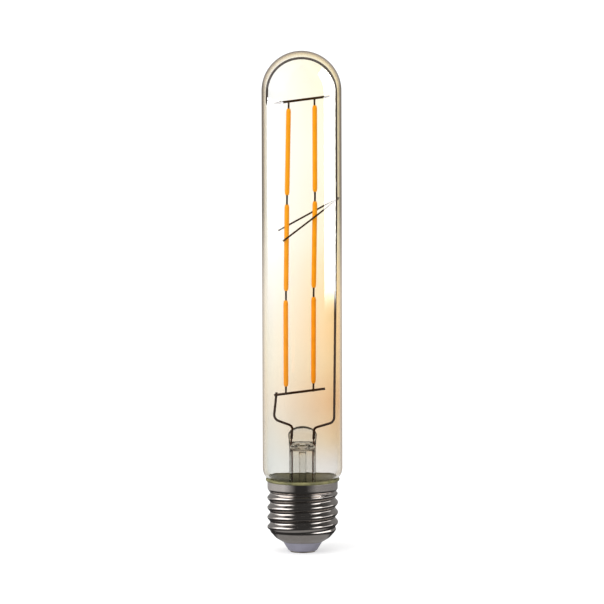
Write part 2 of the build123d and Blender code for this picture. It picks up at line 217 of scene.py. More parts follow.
# %% Glass tube
glass_low, glass_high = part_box("glass_envelope")
glass_radius, wall = glass_high.x / MM, 0.8
neck_radius, neck_foot, neck_top, shoulder_top = 11.2, glass_low.z / MM, 23.4, 31.3
dome_centre = glass_high.z / MM - glass_radius
shoulder_height = shoulder_top - neck_top
shoulder_turn = 2 * math.degrees(math.atan((glass_radius - neck_radius) / shoulder_height))
shoulder_arc = shoulder_height / (2 * math.sin(math.radians(shoulder_turn)))
shoulder_steps, side_steps, dome_steps, glass_segments = 14, 30, 28, 160


def glass_line(inset):
    """Half outline of the glass, from the neck's foot to the middle of the dome."""
    neck = neck_radius - inset
    line = [(neck, neck_foot), (neck, (neck_foot + neck_top) / 2)]
    line += arc(
        (neck_radius + shoulder_arc, neck_top), shoulder_arc + inset, 180, 180 - shoulder_turn, shoulder_steps
    )
    line += arc(
        (glass_radius - shoulder_arc, shoulder_top), shoulder_arc - inset, -shoulder_turn, 0, shoulder_steps
    )[1:]
    heights = np.linspace(shoulder_top, dome_centre, side_steps)[1:-1]
    line += [(glass_radius - inset, height) for height in heights]
    line += arc((0, dome_centre), glass_radius - inset, 0, 90, dome_steps)[:-1]
    return line + [(0, dome_centre + glass_radius - inset)]


outline = glass_line(0) + glass_line(wall)[::-1]
glass_tube = add_piece("glass_tube", lathe("glass_tube", outline, glass_segments), "amber_glass")
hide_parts("glass_envelope")

# %% [markdown]
# ## Glass stem
# The stem carries the wires through the glass. Its tube flares out to the neck at its foot, where
# the two are melted together. Above, it was pinched flat round the wires while it was soft, and
# the crown of the pinch is a clear drop of glass. The thin pipe inside it let the air out and was
# then melted shut.

# %% Glass stem
stem_radius, stem_wall, stem_segments = 4.9, 0.7, 72
flare_steps, tube_steps, pinch_steps, flat_steps, crown_steps = 12, 8, 14, 6, 18
flare_top, press_bottom, pinch_top, press_widest, press_top = 27.0, 39.2, 41.0, 43.4, 46.75
press_half_width, press_half_depth = 5.3, 2.1
pipe_radius, pipe_mouth, pipe_straight, tip_steps, pipe_steps = 1.35, 1.8, 3.0, 6, 8
hollow_edge, hollow_top, hollow_round, hollow_steps = press_bottom - 1.3, press_bottom - 0.75, 0.5, 6
stem_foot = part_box("stem")[0].z / MM
pipe_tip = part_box("exhaust_tube")[0].z / MM
flare_reach, flare_drop = neck_radius - wall - stem_radius, flare_top - neck_foot
flare_radius = (flare_reach**2 + flare_drop**2) / (2 * flare_reach)
flare_turn = math.degrees(math.asin(flare_drop / flare_radius))


def ease(share):
    """Runs from 0 to 1 without a jolt at either end."""
    return share * share * (3 - 2 * share)


def stem_outside():
    """Rings as (half width, half depth, height), or (radius, height) where round, up the outside."""
    rings = [(neck_radius, stem_foot), (neck_radius, neck_foot)]
    rings += arc((stem_radius + flare_radius, flare_top), flare_radius, 180 + flare_turn, 180, flare_steps)
    rings += [(stem_radius, height) for height in np.linspace(flare_top, press_bottom, tube_steps)[1:]]
    widening = (press_half_width - stem_radius) / (press_widest - press_bottom)
    pinching = np.linspace(press_bottom, pinch_top, pinch_steps)[1:]
    flattened = np.linspace(pinch_top, press_widest, flat_steps)[1:]
    for height in [*pinching, *flattened]:
        pinch = ease(min(1, (height - press_bottom) / (pinch_top - press_bottom)))
        deep = stem_radius + (press_half_depth - stem_radius) * pinch
        rings.append((stem_radius + widening * (height - press_bottom), deep, height))
    for turn in np.radians(np.linspace(0, 90, crown_steps))[1:-1]:
        height = press_widest + (press_top - press_widest) * math.sin(turn)
        rings.append((press_half_width * math.cos(turn), press_half_depth * math.cos(turn), height))
    return rings + [(0, press_top)]


def stem_inside():
    """Rings up the thin pipe from its tip, round the top of the hollow and down to the flare."""
    inside = stem_radius - stem_wall
    rings = [(0, pipe_tip)]
    rings += arc((0, pipe_tip + pipe_radius), pipe_radius, -90, 0, tip_steps)[1:]
    straight = np.linspace(pipe_tip + pipe_straight, hollow_edge, pipe_steps)
    rings += [(pipe_radius, height) for height in straight]
    rings += [(pipe_mouth, hollow_top - 0.05), (inside - hollow_round, hollow_top)]
    rings += [(inside, height) for height in np.linspace(hollow_edge, flare_top, hollow_steps)]
    flare_centre = (stem_radius + flare_radius, flare_top)
    return rings + arc(flare_centre, flare_radius + stem_wall, 180, 180 + flare_turn, flare_steps)[1:]


outline = stem_outside() + stem_inside()
glass_stem = add_piece("glass_stem", lathe("glass_stem", outline, stem_segments), "stem_glass")
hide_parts("stem", "exhaust_tube")

# %% [markdown]
# ## Screw cap
# The cap is a cup of thin plated sheet with a thread rolled into it. Its shape follows one rule:
# the radius at any angle and height is that of the plain cup, plus a wave that climbs by one pitch
# in each turn. That makes it a task for Geometry Nodes. The tree is built from a few helpers, which
# the finishes use later as well.

# %% Screw cap: helpers for nodes
def feed(tree, socket, value):
    """Gives an input its value: the output of a node is linked, and anything else is set."""
    if isinstance(value, bpy.types.NodeSocket):
        tree.links.new(value, socket)
    else:
        socket.default_value = value


def math_node(tree, operation, *values):
    """One Math node. Each value is a number or the socket that feeds it."""
    node = tree.nodes.new("ShaderNodeMath")
    node.operation = operation
    for socket, value in zip(node.inputs, values):
        feed(tree, socket, value)
    return node.outputs[0]


def ranged(tree, value, low, high, first, last, way="LINEAR"):
    """Maps a number from one range to another and stays within it."""
    node = tree.nodes.new("ShaderNodeMapRange")
    node.interpolation_type = way
    labels = ("Value", "From Min", "From Max", "To Min", "To Max")
    for label, number in zip(labels, (value, low, high, first, last)):
        feed(tree, node.inputs[label], number)
    return node.outputs["Result"]


def vector_of(tree, x, y, z):
    """A vector from three numbers or sockets."""
    node = tree.nodes.new("ShaderNodeCombineXYZ")
    for socket, value in zip(node.inputs, (x, y, z)):
        feed(tree, socket, value)
    return node.outputs[0]


def parts_of(tree, vector):
    """The X, Y and Z outputs of a vector."""
    node = tree.nodes.new("ShaderNodeSeparateXYZ")
    tree.links.new(vector, node.inputs[0])
    return node.outputs


# %% Screw cap: helpers for a tree that makes a mesh
def tree_with_inputs(name, numbers):
    """A Geometry Nodes tree with a geometry output, a material input and named number inputs."""
    tree = bpy.data.node_groups.new(name, "GeometryNodeTree")
    tree.interface.new_socket("Geometry", in_out="OUTPUT", socket_type="NodeSocketGeometry")
    tree.interface.new_socket("Material", in_out="INPUT", socket_type="NodeSocketMaterial")
    for label, value in numbers.items():
        kind = "NodeSocketInt" if isinstance(value, int) else "NodeSocketFloat"
        socket = tree.interface.new_socket(label, in_out="INPUT", socket_type=kind)
        socket.default_value = value
    return tree, tree.nodes.new("NodeGroupInput").outputs


def finish_tree(tree, given, geometry):
    """Ends a tree in Realize Instances and Set Material."""
    real = tree.nodes.new("GeometryNodeRealizeInstances")
    painted = tree.nodes.new("GeometryNodeSetMaterial")
    tree.links.new(geometry, real.inputs[0])
    tree.links.new(real.outputs[0], painted.inputs["Geometry"])
    tree.links.new(given["Material"], painted.inputs["Material"])
    tree.links.new(painted.outputs[0], tree.nodes.new("NodeGroupOutput").inputs[0])


def mesh_from_tree(name, tree, values):
    """Runs a tree on an empty mesh, with its inputs set by identifier, and returns the result."""
    holder = bpy.data.objects.new(name + "_maker", bpy.data.meshes.new(name + "_maker"))
    bpy.context.scene.collection.objects.link(holder)
    modifier = holder.modifiers.new("maker", "NODES")
    modifier.node_group = tree
    for item in tree.interface.items_tree:
        if item.in_out == "INPUT" and item.name in values:
            modifier[item.identifier] = values[item.name]
    graph = bpy.context.evaluated_depsgraph_get()
    mesh = bpy.data.meshes.new_from_object(holder.evaluated_get(graph), depsgraph=graph)
    mesh.name = name
    holder.modifiers.remove(modifier)
    bpy.data.objects.remove(holder)
    return mesh


# %% [markdown]
# A flat grid is wrapped round the axis, a curve gives the plain cup, and a cosine gives the thread,
# which fades out at both of its ends. The Float Curve holds numbers up to one, so it stores each
# radius as a share of twenty millimetres.

# %% Screw cap: a tree for the wrapped sheet
cup_outline = [(7.35, 3.8), (10.0, 5.4), (12.05, 7.7), (12.05, 22.3), (13.0, 23.4), (13.0, 26.4)]
cup_low, cup_high = cup_outline[0][1], cup_outline[-1][1]
fold_radius, fold_steps, curve_full = 0.5, 3, 20
seam_reach = 0.002 * MM


def cup_curve(tree, share):
    """The plain cup's radius at a share of its height."""
    cup = tree.nodes.new("ShaderNodeFloatCurve")
    curve = cup.mapping.curves[0]
    line = rounded(cup_outline, fold_radius, fold_steps)
    for index, (radius, level) in enumerate(line):
        spot = ((level - cup_low) / (cup_high - cup_low), radius / curve_full)
        if index in (0, len(line) - 1):
            curve.points[0 if index == 0 else -1].location = spot
        else:
            curve.points.new(*spot)
    for point in curve.points:
        point.handle_type = "VECTOR"
    cup.mapping.update()
    tree.links.new(share, cup.inputs["Value"])
    return math_node(tree, "MULTIPLY", cup.outputs[0], curve_full)


def shell_tree():
    """The sheet of the cap: a grid wrapped round the axis, with the thread as a climbing wave."""
    tree, given = tree_with_inputs("rolled_shell", {
        "Low": cup_low, "High": cup_high, "Pitch": 3.629, "Crest Height": 7.463, "Thread Depth": 1.05,
        "Fade Low": 7.6, "Fade High": 22.9, "Fade": 1.4, "Points Round": 145, "Rows": 200,
    })
    link = tree.links.new
    grid = tree.nodes.new("GeometryNodeMeshGrid")
    grid.inputs["Size X"].default_value = 1
    grid.inputs["Size Y"].default_value = 1
    link(given["Points Round"], grid.inputs["Vertices X"])
    link(given["Rows"], grid.inputs["Vertices Y"])
    place = parts_of(tree, tree.nodes.new("GeometryNodeInputPosition").outputs[0])
    turn = math_node(tree, "MULTIPLY", math_node(tree, "ADD", place["X"], 0.5), FULL_TURN)
    share = math_node(tree, "ADD", place["Y"], 0.5)
    span = math_node(tree, "SUBTRACT", given["High"], given["Low"])
    height = math_node(tree, "MULTIPLY_ADD", share, span, given["Low"])
    climbed = math_node(tree, "SUBTRACT", height, given["Crest Height"])
    phase = math_node(tree, "DIVIDE", climbed, given["Pitch"])
    phase = math_node(tree, "MULTIPLY", phase, FULL_TURN)
    wave = math_node(tree, "COSINE", math_node(tree, "SUBTRACT", phase, turn))
    wave = math_node(tree, "MULTIPLY_ADD", wave, 0.5, 0.5)
    for edge, way in (("Fade Low", 1), ("Fade High", -1)):
        gap = math_node(tree, "MULTIPLY", math_node(tree, "SUBTRACT", height, given[edge]), way)
        gap = math_node(tree, "DIVIDE", gap, given["Fade"])
        wave = math_node(tree, "MULTIPLY", wave, ranged(tree, gap, 0, 1, 0, 1, "SMOOTHSTEP"))
    radius = math_node(tree, "MULTIPLY_ADD", wave, given["Thread Depth"], cup_curve(tree, share))
    radius = math_node(tree, "MULTIPLY", radius, MM)
    across = math_node(tree, "MULTIPLY", radius, math_node(tree, "COSINE", turn))
    deep = math_node(tree, "MULTIPLY", radius, math_node(tree, "SINE", turn))
    moved = tree.nodes.new("GeometryNodeSetPosition")
    link(grid.outputs["Mesh"], moved.inputs["Geometry"])
    link(vector_of(tree, across, deep, math_node(tree, "MULTIPLY", height, MM)), moved.inputs["Position"])
    seam = tree.nodes.new("GeometryNodeMergeByDistance")
    seam.inputs["Distance"].default_value = seam_reach
    link(moved.outputs[0], seam.inputs["Geometry"])
    finish_tree(tree, given, seam.outputs[0])
    return tree


nickel_plate = bpy.data.materials.new("nickel_plate_worn")
shell_mesh = mesh_from_tree("threaded_shell", shell_tree(), {"Material": nickel_plate})
widest = max(vertex.co.x for vertex in shell_mesh.vertices)
print("sheet points:", len(shell_mesh.vertices), "widest in mm:", round(widest / MM, 3))

# %% [markdown]
# The sheet has no thickness yet. Its faces are turned outwards first, and Solidify then gives it
# three tenths of a millimetre inwards, so that its rim shows an edge above the collar.

# %% Screw cap: thickness
sheet_thickness = 0.3


def face_outwards(mesh):
    """Turns an open tube's faces away from the axis."""
    work = bmesh.new()
    work.from_mesh(mesh)
    bmesh.ops.recalc_face_normals(work, faces=work.faces)
    outwards = 0
    for face in work.faces:
        middle = face.calc_center_median()
        outwards += face.normal.x * middle.x + face.normal.y * middle.y
    if outwards < 0:
        bmesh.ops.reverse_faces(work, faces=work.faces)
    work.to_mesh(mesh)
    work.free()


face_outwards(shell_mesh)
threaded_shell = add_piece("threaded_shell", shell_mesh, "nickel_plate")
sheet = threaded_shell.modifiers.new("sheet", "SOLIDIFY")
sheet.thickness = sheet_thickness * MM
sheet.offset = -1
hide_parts("cap_shell")

# %% [markdown]
# ## Insulator and contact
# The cone is pressed glass, moulded into the mouth of the cap, and the round plate under it is the second
# contact. The cone's grey-violet is partly its own tint and partly painted shade, darker than the pale cone
# is, so that it stays dim when the white floor lights it from below. Both have edges as soft as moulding and
# stamping leave them.

# %% Insulator and contact
cone_edge, cone_segments = 0.4, 96
plate_edge, plate_segments = 0.22, 72
contact_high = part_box("centre_contact")[1]
plate_radius, plate_top = contact_high.x / MM, contact_high.z / MM
cone_outline = [
    (0, plate_top), (5.2, plate_top), (7.25, 3.75), (7.25, 4.4), (9.6, 5.95), (10.7, 6.8), (0, 6.8),
]
line = rounded(cone_outline, cone_edge)
insulator_cone = add_piece("insulator_cone", lathe("insulator_cone", line, cone_segments), "insulator_glass")
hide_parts("insulator")
line = rounded([(0, 0), (plate_radius, 0), (plate_radius, plate_top), (0, plate_top)], plate_edge)
contact_plate = add_piece("contact_plate", lathe("contact_plate", line, plate_segments), "contact_metal")
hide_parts("centre_contact")

# %% [markdown]
# ## Cement
# An olive resin fills the collar and has squeezed out round the glass in an uneven ring. The ring
# is turned like the rest, and noise then pushes its outer side in and out by a tenth or two.

# %% Cement
cement_foot, rim_height, bead_top, cement_segments = 20.6, 26.4, 27.45, 220
bead_centre, bead_radius, bead_reach, bead_steps = 13.0, 0.6, 80, 9
glass_gap, rise = 0.02, 0.5
squeeze, lift = 0.012, 0.16
waves, ripples, noise_layer = 3, 9, 5


def squeezed(x, y, z):
    """Pushes the part of the ring that stands over the rim in and out a little."""
    if z < rim_height:
        return x, y, z
    turn = math.atan2(y, x)
    rough = noise.noise(Vector((waves * math.cos(turn), waves * math.sin(turn), noise_layer)))
    rough += 0.5 * noise.noise(Vector((ripples * math.cos(turn), ripples * math.sin(turn), z)))
    share = min(1, (z - rim_height) / rise)
    swell = 1 + squeeze * rough * share
    return x * swell, y * swell, z + lift * rough * share


def cement_outline():
    """Closed outline of the resin, from its foot in the collar to the bead over the rim."""
    seat = [(neck_radius + glass_gap, cement_foot)]
    for radius, height in glass_line(0):
        if neck_top - 1 < height < bead_top - 0.1:
            seat.append((radius + glass_gap, height))
    in_collar = [(11.7, cement_foot), (11.7, 22.3), (12.65, 23.6), (12.65, rim_height - 0.3)]
    on_rim = [(12.72, rim_height + 0.03), (bead_centre, rim_height + 0.04)]
    middle = (bead_centre, (rim_height + bead_top) / 2)
    bead = arc(middle, bead_radius, -bead_reach, bead_reach, bead_steps)
    return in_collar + on_rim + bead + seat[::-1]


ring_mesh = lathe("cement_ring", cement_outline(), cement_segments, squeezed)
cement_ring = add_piece("cement_ring", ring_mesh, "cement")
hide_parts("cement")

# %% [markdown]
# ## Filaments
# Each filament is a thin strip of glass with a row of tiny chips, dipped in silicone that is full
# of orange phosphor. The coat is round and smooth, it narrows at both ends, and it swells a little
# over every chip. All six are alike, so one tree makes them, with the number of chips as an input.

# %% Filaments: a tree for a coated rod
rod_rings, rod_sides = 225, 28


def rod_tree():
    """A coated rod that stands on the origin along Z, in metres."""
    tree, given = tree_with_inputs("coated_rod", {
        "Length": 0.032, "Radius": 0.000875, "End Radius": 0.00052, "End Length": 0.0016,
        "Swell": 0.025, "Chips": 28,
    })
    link = tree.links.new
    line = tree.nodes.new("GeometryNodeCurvePrimitiveLine")
    link(vector_of(tree, 0.0, 0.0, given["Length"]), line.inputs["End"])
    fine = tree.nodes.new("GeometryNodeResampleCurve")
    fine.inputs["Count"].default_value = rod_rings
    link(line.outputs[0], fine.inputs["Curve"])
    along = tree.nodes.new("GeometryNodeSplineParameter").outputs["Length"]
    to_end = math_node(tree, "SUBTRACT", given["Length"], along)
    nearest = math_node(tree, "MINIMUM", along, to_end)
    nearest = math_node(tree, "MINIMUM", math_node(tree, "DIVIDE", nearest, given["End Length"]), 1.0)
    away = math_node(tree, "SUBTRACT", 1.0, nearest)
    round_end = math_node(tree, "SUBTRACT", 1.0, math_node(tree, "MULTIPLY", away, away))
    round_end = math_node(tree, "SQRT", round_end)
    spread = math_node(tree, "SUBTRACT", given["Radius"], given["End Radius"])
    radius = math_node(tree, "MULTIPLY_ADD", round_end, spread, given["End Radius"])
    beat = math_node(tree, "DIVIDE", along, given["Length"])
    beat = math_node(tree, "MULTIPLY", beat, given["Chips"])
    wave = math_node(tree, "COSINE", math_node(tree, "MULTIPLY", beat, FULL_TURN))
    swell = math_node(tree, "MULTIPLY_ADD", wave, given["Swell"], 1.0)
    section = tree.nodes.new("GeometryNodeCurvePrimitiveCircle")
    section.inputs["Resolution"].default_value = rod_sides
    section.inputs["Radius"].default_value = 1.0
    coat = tree.nodes.new("GeometryNodeCurveToMesh")
    coat.inputs["Fill Caps"].default_value = True
    link(fine.outputs[0], coat.inputs["Curve"])
    link(math_node(tree, "MULTIPLY", radius, swell), coat.inputs["Scale"])
    link(section.outputs["Curve"], coat.inputs["Profile Curve"])
    finish_tree(tree, given, coat.outputs[0])
    return tree


# %% [markdown]
# Where each rod stands comes from its solid: the longest direction of the solid's points is the
# rod's axis. The coat's middle radius is a little under the solid's, which leaves room to swell.

# %% Filaments: six rods
coat_share = 0.985
phosphor = bpy.data.materials.new("phosphor_coat")
rod_maker = rod_tree()


def rod_axis(node):
    """Lower end, upper end and radius of a rod, read from its solid's points."""
    points = np.array([v.co for v in frame["nodes"][node].data.vertices])
    middle = points.mean(0)
    axis = np.linalg.svd(points - middle, full_matrices=False)[2][0]
    axis = axis * np.sign(axis[2])
    reach = (points - middle) @ axis
    across = np.linalg.norm((points - middle) - np.outer(reach, axis), axis=1)
    centre = (points.min(0) + points.max(0)) / 2
    half = (reach.max() - reach.min()) / 2
    return Vector(centre - axis * half), Vector(centre + axis * half), float(across.max())


for side in ("left", "right"):
    for number in (1, 2, 3):
        node = f"filament_{side}_{number}"
        foot, head, rod_radius = rod_axis(node)
        mesh = mesh_from_tree(f"coated_rod_{side}_{number}", rod_maker, {
            "Material": phosphor, "Length": (head - foot).length, "Radius": rod_radius * coat_share,
        })
        turn = (head - foot).to_track_quat("Z", "Y").to_matrix().to_4x4()
        mesh.transform(Matrix.Translation(foot) @ turn)
        rod = add_piece(mesh.name, mesh, "phosphor")
        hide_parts(node)

# %% [markdown]
# ## Finishes
# Plating, wire, resin and plastic all have a fine grain: two near colours mixed by noise, a
# roughness that varies, and a height for bumps. That grain is one shader node group with named
# inputs, which is built once and placed in each material with values of its own.

# %% Finishes: helpers
noise_detail = 4.0


def noise_in(tree, vector, scale):
    """A Noise texture fed by a vector and a scale."""
    made = tree.nodes.new("ShaderNodeTexNoise")
    made.inputs["Detail"].default_value = noise_detail
    feed(tree, made.inputs["Vector"], vector)
    feed(tree, made.inputs["Scale"], scale)
    return made.outputs[0]


def mixed_colours(tree, factor, first, second, way="MIX"):
    """Two colours mixed by a factor, or multiplied. Each is a plain value or a socket."""
    node = tree.nodes.new("ShaderNodeMix")
    node.data_type = "RGBA"
    node.blend_type = way
    colours = [socket for socket in node.inputs if socket.type == "RGBA"]
    for socket, value in ((node.inputs["Factor"], factor), (colours[0], first), (colours[1], second)):
        feed(tree, socket, value)
    return next(socket for socket in node.outputs if socket.type == "RGBA")


def shader_group(name, inputs, outputs):
    """A shader node group with named sockets."""
    group = bpy.data.node_groups.new(name, "ShaderNodeTree")
    for label, value in inputs.items():
        kind = {float: "NodeSocketFloat", tuple: "NodeSocketColor", str: "NodeSocketVector"}[type(value)]
        socket = group.interface.new_socket(label, in_out="INPUT", socket_type=kind)
        if kind != "NodeSocketVector":
            socket.default_value = value
    for label, kind in outputs.items():
        group.interface.new_socket(label, in_out="OUTPUT", socket_type=kind)
    return group, group.nodes.new("NodeGroupInput").outputs, group.nodes.new("NodeGroupOutput").inputs


# %% Finishes: the grain
finer_times = 4.3
patch_low, patch_high = 0.35, 0.68


def grain_group():
    """Two colours mixed by noise, with a roughness that varies and a height for bumps."""
    group, given, out = shader_group("fine_grain", {
        "Vector": "vector", "Color": (0.5, 0.5, 0.5, 1), "Second Color": (0.3, 0.3, 0.3, 1),
        "Scale": 200.0, "Mix": 0.5, "Roughness": 0.4, "Spread": 0.2,
    }, {"Color": "NodeSocketColor", "Roughness": "NodeSocketFloat", "Height": "NodeSocketFloat"})
    coarse = noise_in(group, given["Vector"], given["Scale"])
    fine = noise_in(group, given["Vector"], math_node(group, "MULTIPLY", given["Scale"], finer_times))
    patch = ranged(group, coarse, patch_low, patch_high, 0, 1)
    factor = math_node(group, "MULTIPLY", patch, given["Mix"])
    feed(group, out["Color"], mixed_colours(group, factor, given["Color"], given["Second Color"]))
    off = math_node(group, "SUBTRACT", fine, 0.5)
    rough = math_node(group, "MULTIPLY_ADD", off, given["Spread"], given["Roughness"])
    group.links.new(rough, out["Roughness"])
    group.links.new(fine, out["Height"])
    return group


fine_grain = grain_group()
print("shared group:", fine_grain.name, "with", len(fine_grain.nodes), "nodes")

# %% [markdown]
# A plain finish is one Principled shader whose colour and roughness come from the grain group, on
# Object coordinates. Colours are written as on a screen, so a helper turns them into the linear
# numbers that shaders use.

# %% Finishes: plain recipe
bump_height = 0.1


def linear(code):
    """A screen colour as linear red, green, blue and a full alpha."""
    parts = [int(code[i : i + 2], 16) / 255 for i in (0, 2, 4)]
    parts = [p / 12.92 if p <= 0.04045 else ((p + 0.055) / 1.055) ** 2.4 for p in parts]
    return (*parts, 1)


def object_place(tree):
    """Object coordinates, which are metres in the bulb's own frame."""
    return tree.nodes.new("ShaderNodeTexCoord").outputs["Object"]


def grained(
    material, first, second, scale, roughness, spread, mix=0.6, metallic=0.0, bump=0.0, specular=0.5
):
    """Gives a material a Principled shader with fine grain in colour, roughness and height."""
    material.use_nodes = True
    tree = material.node_tree
    shader = tree.nodes["Principled BSDF"]
    grain = tree.nodes.new("ShaderNodeGroup")
    grain.node_tree = fine_grain
    values = {
        "Vector": object_place(tree), "Color": linear(first), "Second Color": linear(second),
        "Scale": scale, "Mix": mix, "Roughness": roughness, "Spread": spread,
    }
    for label, value in values.items():
        feed(tree, grain.inputs[label], value)
    tree.links.new(grain.outputs["Color"], shader.inputs["Base Color"])
    tree.links.new(grain.outputs["Roughness"], shader.inputs["Roughness"])
    shader.inputs["Metallic"].default_value = metallic
    shader.inputs["Specular IOR Level"].default_value = specular
    if bump:
        bumps = tree.nodes.new("ShaderNodeBump")
        bumps.inputs["Strength"].default_value = bump
        bumps.inputs["Distance"].default_value = bump_height * MM
        tree.links.new(grain.outputs["Height"], bumps.inputs["Height"])
        tree.links.new(bumps.outputs[0], shader.inputs["Normal"])
    return material


def finish(name, *values, **named):
    """A new material made by the plain recipe."""
    return grained(bpy.data.materials.new(name), *values, **named)


# %% [markdown]
# The wires, guard and tabs inside the glass are painted a dull dark brown, so they are no mirrors. This is
# painted shade, which stands in for the dark room that bright nickel and steel would mirror. The cap's plate
# is a warm grey one. What stands on the hidden board gets its usual colours.

# %% Finishes: plain materials
wire = {"bump": 0.1, "specular": 0.1}
metal = {"metallic": 1.0, "bump": 0.1}
finishes = {
    "nickel_plate": grained(nickel_plate, "d2cbc6", "c4bbb4", 260.0, 0.12, 0.06, metallic=1.0, bump=0.05),
    # Painted shade: the nickel wire, steel guard and tabs are dull dark brown in place of mirrored dark
    # surroundings.
    "nickel_wire": finish("drawn_nickel", "42280e", "2c1a08", 700.0, 0.5, 0.2, **wire),
    "guard_steel": finish("bright_steel", "4a3018", "33200f", 700.0, 0.5, 0.2, **wire),
    "terminal_metal": finish("pressed_tabs", "4c3824", "332618", 900.0, 0.5, 0.2, **wire),
    "copper": finish("copper_wire", "9a5a3a", "6e3c26", 600.0, 0.35, 0.2, **metal),
    "contact_metal": finish("stamped_brass", "a8a196", "8c8172", 500.0, 0.33, 0.2, **metal),
    "solder": finish("soft_solder", "a9a9ab", "87878a", 400.0, 0.4, 0.25, metallic=1.0, bump=0.3),
    # The insulator's grey-violet is partly its own tint and partly painted shade, darker than the pale cone.
    "insulator_glass": finish("pressed_glass", "a3a1b0", "9795a3", 300.0, 0.34, 0.12, bump=0.05),
    "cement": finish("olive_resin", "8f8b5e", "5c5a3e", 420.0, 0.42, 0.25, mix=0.95, bump=0.5),
    "board": finish("board_laminate", "2f5d3a", "264a30", 300.0, 0.45, 0.15, bump=0.1),
    "package": finish("moulded_package", "1d1d1f", "29292b", 900.0, 0.55, 0.15, bump=0.2),
    "capacitor_sleeve": finish("shrunk_sleeve", "23232b", "2e2e38", 500.0, 0.35, 0.15, bump=0.1),
    "resistor_coat": finish("dipped_coat", "7f9a8a", "6b8577", 500.0, 0.45, 0.15, bump=0.2),
}
print("plain finishes:", ", ".join(sorted(finishes)))

# %% [markdown]
# Near the axis, the resin sits between the collar and the glass and is seen through the neck. There its
# colour is mixed towards a pale cream: painted light, which stands in for the light that hardly reaches it.
# The ring outside keeps the darker olive.

# %% Finishes: painted light on the inner resin
# Inside this radius the resin's colour is lifted towards pale cream as painted light.
painted_light_radius, painted_light_step, painted_light_share = 12.4, 0.4, 0.7


def base_colour_source(shader):
    """The socket that feeds a shader's colour so far."""
    return shader.inputs["Base Color"].links[0].from_socket


def length_of(tree, vector):
    """The length of a vector."""
    node = tree.nodes.new("ShaderNodeVectorMath")
    node.operation = "LENGTH"
    tree.links.new(vector, node.inputs[0])
    return node.outputs["Value"]


def painted_light_inside(material, pale):
    """Mixes a paler colour in near the axis, as painted light on resin that little light reaches."""
    tree = material.node_tree
    shader = tree.nodes["Principled BSDF"]
    place = parts_of(tree, object_place(tree))
    radius = length_of(tree, vector_of(tree, place["X"], place["Y"], 0.0))
    share = ranged(tree, radius, painted_light_radius * MM, (painted_light_radius + painted_light_step) * MM, painted_light_share, 0.0)
    colour = mixed_colours(tree, share, base_colour_source(shader), linear(pale))
    tree.links.new(colour, shader.inputs["Base Color"])


# Painted light: the resin near the axis is lifted to a pale cream, as if more light reached it through the
# neck.
painted_light_inside(finishes["cement"], "e6e3c8")
print("thin resin inside a radius of", painted_light_radius, "mm")

# %% [markdown]
# ## Phosphor
# Silicone full of phosphor scatters light under its skin. A faint orange emission is painted on as well: a
# painted glow that brightens the rods as if more daylight reached them through the glass. The rods therefore
# look the same flat orange from every side. Faint bands, one every seven millimetres, keep the colour from
# being quite even.

# %% Phosphor
band_step, band_share, band_waver = 7.177, 0.10, 0.4
bands_per_scale = 20 / FULL_TURN
skin_depth, painted_glow_colour, painted_glow_strength = 0.6, (1.0, 0.40, 0.01, 1), 0.34


def phosphor_finish(material):
    """Orange silicone with faint bands along the tube, and a painted glow of its own."""
    grained(material, "fea61c", "fb9c10", 500.0, 0.48, 0.15, mix=0.7, bump=0.15, specular=0.2)
    tree = material.node_tree
    shader = tree.nodes["Principled BSDF"]
    bands = tree.nodes.new("ShaderNodeTexWave")
    bands.bands_direction = "Z"
    bands.inputs["Scale"].default_value = 1 / (bands_per_scale * band_step * MM)
    bands.inputs["Distortion"].default_value = band_waver
    tree.links.new(object_place(tree), bands.inputs["Vector"])
    banded = mixed_colours(
        tree, band_share, base_colour_source(shader), bands.outputs["Color"], "MULTIPLY"
    )
    tree.links.new(banded, shader.inputs["Base Color"])
    shader.inputs["Subsurface Weight"].default_value = 0.15
    shader.inputs["Subsurface Radius"].default_value = (0.5, 0.3, 0.1)
    shader.inputs["Subsurface Scale"].default_value = skin_depth * MM
    # The emission is painted light: a glow that lifts the rods, although the bulb is not lit.
    shader.inputs["Emission Color"].default_value = painted_glow_colour
    shader.inputs["Emission Strength"].default_value = painted_glow_strength
    return material


finishes["phosphor"] = phosphor_finish(phosphor)
print("phosphor:", len(phosphor.node_tree.nodes), "nodes")

# %% [markdown]
# ## Glass
# The tube carries a thin amber coat that is pale at the top, peach lower down, and gone before the neck. Its
# colour is paler on the left than on the right. The colours are those that the eye sees through the tube,
# which is two walls, so one wall gets their square root.

# %% Glass: helpers
def ramp_over(tree, value, stops):
    """A Color Ramp over (place, colour) stops."""
    ramp = tree.nodes.new("ShaderNodeValToRGB")
    tree.links.new(value, ramp.inputs[0])
    elements = ramp.color_ramp.elements
    for index, (spot, colour) in enumerate(stops):
        stop = elements[index] if index < 2 else elements.new(spot)
        stop.position = spot
        stop.color = colour
    return ramp.outputs["Color"]


def powered(tree, colour, power):
    """A colour raised to a power, which may be a number or a socket."""
    node = tree.nodes.new("ShaderNodeGamma")
    feed(tree, node.inputs["Color"], colour)
    feed(tree, node.inputs["Gamma"], power)
    return node.outputs[0]


# %% [markdown]
# Light that grazes the wall passes through more of the glass, so the tint deepens there. On top of that, the
# outermost line of the glass is painted dark: painted shade that stands in for the dark room that the edge of
# the wall mirrors. Layer Weight gives that line, less of it on the inner skin, and half as strong low on the
# tube. Rays from lamps pass straight through one wall, so that what is inside stays lit.

# %% Glass: recipe
tint_reach = 12
# The painted dark edge is half as strong low on the tube and full near the top.
painted_edge_heights, painted_edge_strengths = (105, 150), (0.5, 1.0)
inner_share = 0.8


